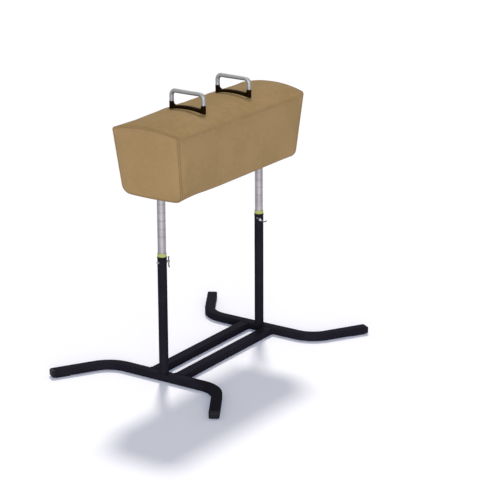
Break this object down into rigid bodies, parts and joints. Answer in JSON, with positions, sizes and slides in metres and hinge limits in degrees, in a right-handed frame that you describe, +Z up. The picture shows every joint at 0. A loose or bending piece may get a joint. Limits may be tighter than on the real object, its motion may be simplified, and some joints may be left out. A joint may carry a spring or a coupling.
{
  "type": "pommel horse",
  "caption": "Short padded pommel horse with a crowned tan body and slim bent pommels, on telescopic round posts with clamping screws and a flat base frame with splayed feet.",
  "frame": {"origin": "on the floor, under the middle of the horse", "axes": "+Z up, X along the horse (near end at -X), Y across it (left at +Y)"},
  "size_m": [1.32, 0.9444, 1.318],
  "materials": {
    "frame_black": "satin",
    "collar_black": "gloss",
    "tube_steel": "satin",
    "screw_steel": "satin",
    "zinc_steel": "satin",
    "bush_yellow": "satin",
    "nylon_white": "satin",
    "cap_black": "satin",
    "pad_rubber": "matte",
    "pad_brass": "satin",
    "pommel_silver": "satin",
    "pommel_black": "gloss",
    "cover_tan": "satin",
    "foam": "matte",
    "plywood": "matte"
  },
  "bodies": {
    "stand": {"foot_tube_near": "frame_black", "foot_tube_far": "frame_black", "spreader_left": "frame_black", "spreader_right": "frame_black", "foot_end_caps": "cap_black", "foot_pads": "pad_rubber", "post_tube_near": "frame_black", "post_tube_far": "frame_black", "post_collar_near": "collar_black", "post_collar_far": "collar_black", "guide_bush_near": "bush_yellow", "guide_bush_far": "bush_yellow", "screw_bosses_near": "zinc_steel", "screw_bosses_far": "zinc_steel", "guide_screw_near": "screw_steel", "guide_screw_far": "screw_steel"},
    "horse": {"inner_tube_near": "tube_steel", "inner_tube_far": "tube_steel", "glide_plug_near": "nylon_white", "glide_plug_far": "nylon_white", "mounting_flange_near": "zinc_steel", "mounting_flange_far": "zinc_steel", "anchor_plate_near": "zinc_steel", "anchor_plate_far": "zinc_steel", "flange_bolts": "zinc_steel", "flange_nuts": "zinc_steel", "bottom_board": "plywood", "top_board": "plywood", "side_board_left": "plywood", "side_board_right": "plywood", "end_board_near": "plywood", "end_board_far": "plywood", "bulkhead_near": "plywood", "bulkhead_middle": "plywood", "bulkhead_far": "plywood", "top_foam": "foam", "side_foam_left": "foam", "side_foam_right": "foam", "end_foam_near": "foam", "end_foam_far": "foam", "cover_top": "cover_tan", "cover_side_left": "cover_tan", "cover_side_right": "cover_tan", "cover_end_near": "cover_tan", "cover_end_far": "cover_tan", "cover_bottom": "cover_tan", "pommel_base_near": "pommel_black", "pommel_base_far": "pommel_black", "pommel_grip_near": "pommel_silver", "pommel_grip_far": "pommel_silver", "grip_pins": "zinc_steel", "pommel_bolts": "zinc_steel", "pommel_washers": "zinc_steel"},
    "thrust_near": {"thrust_pad_near": "pad_brass"},
    "clamp_near": {"clamp_screw_near": "screw_steel"},
    "bar_near": {"cross_bar_near": "screw_steel"},
    "thrust_far": {"thrust_pad_far": "pad_brass"},
    "clamp_far": {"clamp_screw_far": "screw_steel"},
    "bar_far": {"cross_bar_far": "screw_steel"}
  },
  "joints": [
    {"name": "height_slide", "type": "slide", "parent": "stand", "child": "horse", "axis": [0, 0, 1], "range_m": [-0.25, 0.1]},
    {"name": "clamp_advance_near", "type": "slide", "parent": "stand", "child": "thrust_near", "axis": [0.7071, -0.7071, 0], "range_m": [0, 0.00251]},
    {"name": "clamp_turn_near", "type": "hinge", "parent": "thrust_near", "child": "clamp_near", "pos_m": [-0.393, 0, 0.5725], "axis": [0.7071, -0.7071, 0], "range_deg": [0, 720]},
    {"name": "bar_slide_near", "type": "slide", "parent": "clamp_near", "child": "bar_near", "axis": [0, 0, -1], "range_m": [-0.01, 0.013]},
    {"name": "clamp_advance_far", "type": "slide", "parent": "stand", "child": "thrust_far", "axis": [-0.7071, -0.7071, 0], "range_m": [0, 0.00251]},
    {"name": "clamp_turn_far", "type": "hinge", "parent": "thrust_far", "child": "clamp_far", "pos_m": [0.393, 0, 0.5725], "axis": [-0.7071, -0.7071, 0], "range_deg": [0, 720]},
    {"name": "bar_slide_far", "type": "slide", "parent": "clamp_far", "child": "bar_far", "axis": [0.5792, -0.5792, -0.5736], "range_m": [-0.01, 0.013]}
  ],
  "couplings": [
    {"joint": "clamp_advance_near", "follows": "clamp_turn_near", "m_per_rad": 0.00019894},
    {"joint": "clamp_advance_far", "follows": "clamp_turn_far", "m_per_rad": 0.00019894}
  ]
}
